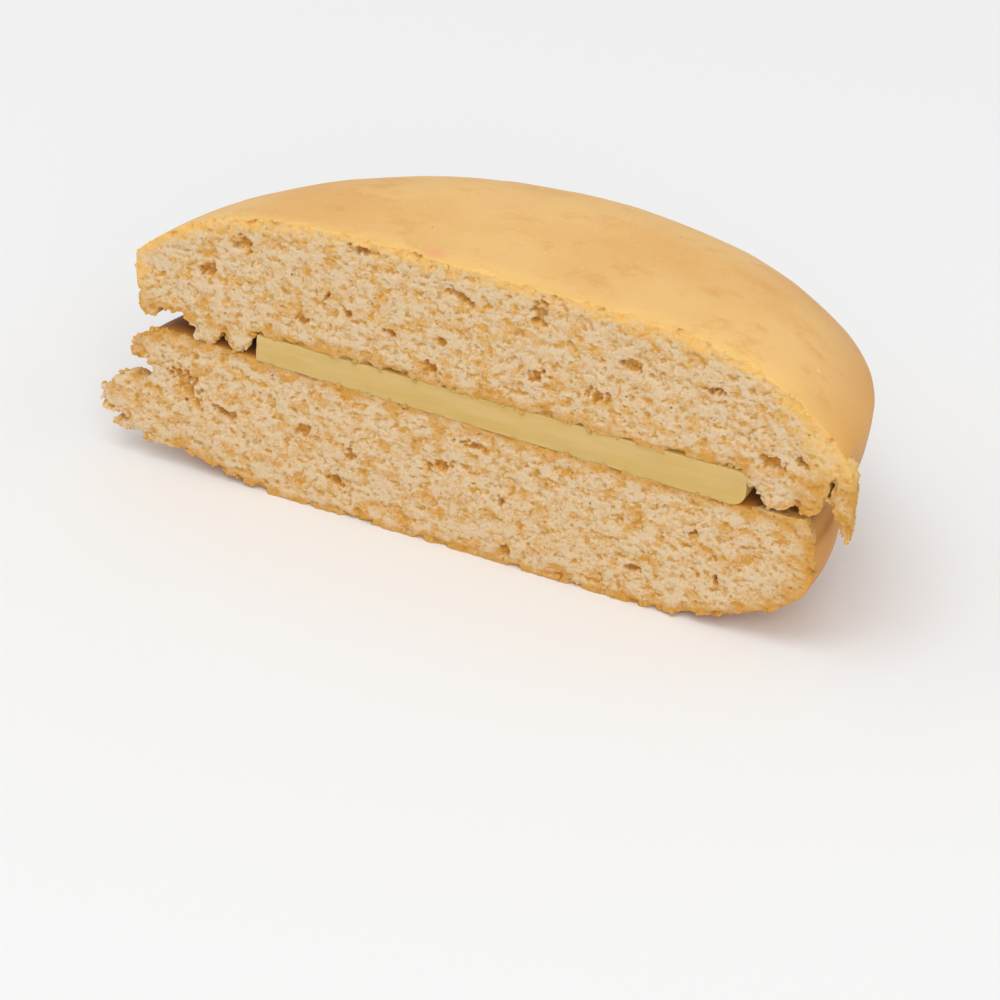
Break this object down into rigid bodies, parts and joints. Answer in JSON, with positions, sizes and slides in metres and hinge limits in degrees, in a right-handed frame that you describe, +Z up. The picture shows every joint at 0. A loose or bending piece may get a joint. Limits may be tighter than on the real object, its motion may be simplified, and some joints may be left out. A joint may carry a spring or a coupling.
{
  "type": "half of a banana sandwich cookie",
  "caption": "Half of a round soft sponge sandwich cookie with a slab of banana cream, cut through the middle, resting on its flat base.",
  "frame": {"origin": "on the flat underside that the half rests on, within 2 mm of under the middle of its weight, 17 mm behind the cut plane", "axes": "+Z up; +X along the cut face from its left end to its right end, the longest extent; +Y from the cut face into the half"},
  "size_m": [0.0854, 0.0401, 0.0315],
  "materials": {
    "sponge": "baked sponge, matt",
    "cream": "set cream, satin"
  },
  "bodies": {
    "root": {"top_cookie": "sponge", "banana_cream": "cream", "bottom_cookie": "sponge"}
  },
  "joints": []
}
